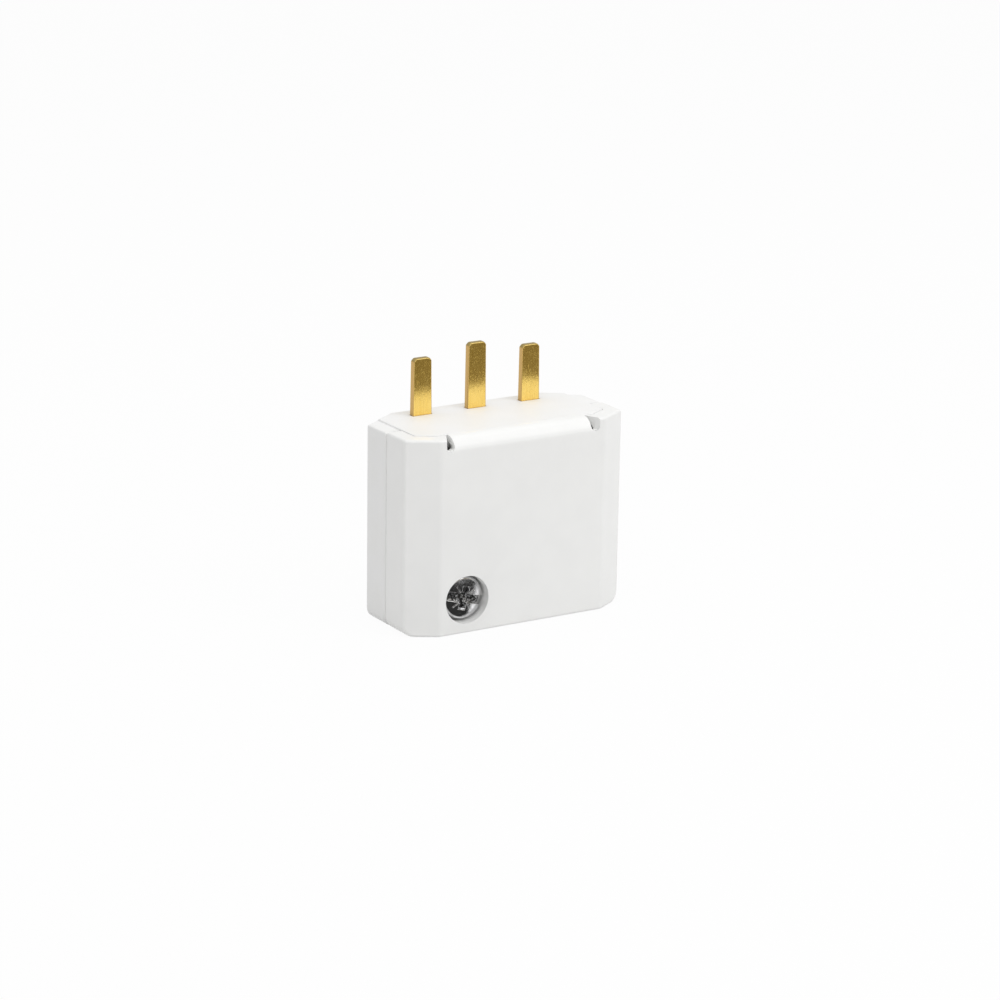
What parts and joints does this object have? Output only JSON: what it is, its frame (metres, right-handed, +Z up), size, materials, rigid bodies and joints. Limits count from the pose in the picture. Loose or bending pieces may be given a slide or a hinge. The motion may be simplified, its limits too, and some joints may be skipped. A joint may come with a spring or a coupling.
{
  "type": "ceiling lamp plug",
  "caption": "White ceiling lamp plug with flat brass blades on a raised deck, a screwed front cover with a rounded tongue, screw terminals and a cord clamp.",
  "frame": {"origin": "middle of the underside, which the plug stands on", "axes": "+Z up along the blades, +X along the row of blades, -Y out of the front cover"},
  "size_m": [0.036, 0.0166, 0.0384],
  "materials": {
    "rear_plastic": "white, fine satin",
    "cover_plastic": "white, fine satin",
    "blade_brass": "rolled, bright",
    "terminal_brass": "machined",
    "plate_steel": "zinc plated",
    "screw_steel": "zinc plated, bright",
    "insert_brass": "knurled",
    "washer_fibre": "vulcanised fibre",
    "clamp_plastic": "white, matt"
  },
  "bodies": {
    "root": {"rear_housing": "rear_plastic", "front_cover": "cover_plastic", "threaded_insert": "insert_brass", "line_blade": "blade_brass", "line_terminal": "terminal_brass", "earth_blade": "blade_brass", "earth_terminal": "terminal_brass", "neutral_blade": "blade_brass", "neutral_terminal": "terminal_brass"},
    "cover_screw_washer": {"cover_screw_washer": "washer_fibre"},
    "cover_screw": {"cover_screw": "screw_steel"},
    "line_wire_plate": {"line_wire_plate": "plate_steel"},
    "line_terminal_screw": {"line_terminal_screw": "screw_steel"},
    "earth_wire_plate": {"earth_wire_plate": "plate_steel"},
    "earth_terminal_screw": {"earth_terminal_screw": "screw_steel"},
    "neutral_wire_plate": {"neutral_wire_plate": "plate_steel"},
    "neutral_terminal_screw": {"neutral_terminal_screw": "screw_steel"},
    "cord_clamp": {"cord_clamp": "clamp_plastic"},
    "clamp_screw_left": {"clamp_screw_left": "screw_steel"},
    "clamp_screw_right": {"clamp_screw_right": "screw_steel"}
  },
  "joints": [
    {"name": "cover_screw_slide", "type": "slide", "parent": "root", "child": "cover_screw_washer", "axis": [0, -1, 0], "range_m": [0, 0.0032]},
    {"name": "cover_screw_turn", "type": "hinge", "parent": "cover_screw_washer", "child": "cover_screw", "pos_m": [-0.00905, 0, 0.00495], "axis": [0, -1, 0], "range_deg": [0, 1920.1]},
    {"name": "line_plate_slide", "type": "slide", "parent": "root", "child": "line_wire_plate", "axis": [0, -1, 0], "range_m": [0, 0.001]},
    {"name": "line_screw_turn", "type": "hinge", "parent": "line_wire_plate", "child": "line_terminal_screw", "pos_m": [-0.009, 0, 0.0208], "axis": [0, -1, 0], "range_deg": [0, 720.1]},
    {"name": "earth_plate_slide", "type": "slide", "parent": "root", "child": "earth_wire_plate", "axis": [0, -1, 0], "range_m": [0, 0.001]},
    {"name": "earth_screw_turn", "type": "hinge", "parent": "earth_wire_plate", "child": "earth_terminal_screw", "pos_m": [0, 0, 0.0208], "axis": [0, -1, 0], "range_deg": [0, 720.1]},
    {"name": "neutral_plate_slide", "type": "slide", "parent": "root", "child": "neutral_wire_plate", "axis": [0, -1, 0], "range_m": [0, 0.001]},
    {"name": "neutral_screw_turn", "type": "hinge", "parent": "neutral_wire_plate", "child": "neutral_terminal_screw", "pos_m": [0.009, 0, 0.0208], "axis": [0, -1, 0], "range_deg": [0, 720.1]},
    {"name": "cord_clamp_slide", "type": "slide", "parent": "root", "child": "cord_clamp", "axis": [0, 1, 0], "range_m": [0, 0.003]},
    {"name": "clamp_screw_left_turn", "type": "hinge", "parent": "cord_clamp", "child": "clamp_screw_left", "pos_m": [-0.0057, 0, 0.0114], "axis": [0, 1, 0], "range_deg": [0, 981.9]},
    {"name": "clamp_screw_right_turn", "type": "hinge", "parent": "cord_clamp", "child": "clamp_screw_right", "pos_m": [0.0057, 0, 0.0114], "axis": [0, 1, 0], "range_deg": [0, 981.9]}
  ],
  "couplings": [
    {"joint": "cover_screw_turn", "follows": "cover_screw_slide", "rad_per_m": 10472},
    {"joint": "line_screw_turn", "follows": "line_plate_slide", "rad_per_m": 12566},
    {"joint": "earth_screw_turn", "follows": "earth_plate_slide", "rad_per_m": 12566},
    {"joint": "neutral_screw_turn", "follows": "neutral_plate_slide", "rad_per_m": 12566},
    {"joint": "clamp_screw_left_turn", "follows": "cord_clamp_slide", "rad_per_m": 5712},
    {"joint": "clamp_screw_right_turn", "follows": "cord_clamp_slide", "rad_per_m": 5712}
  ]
}
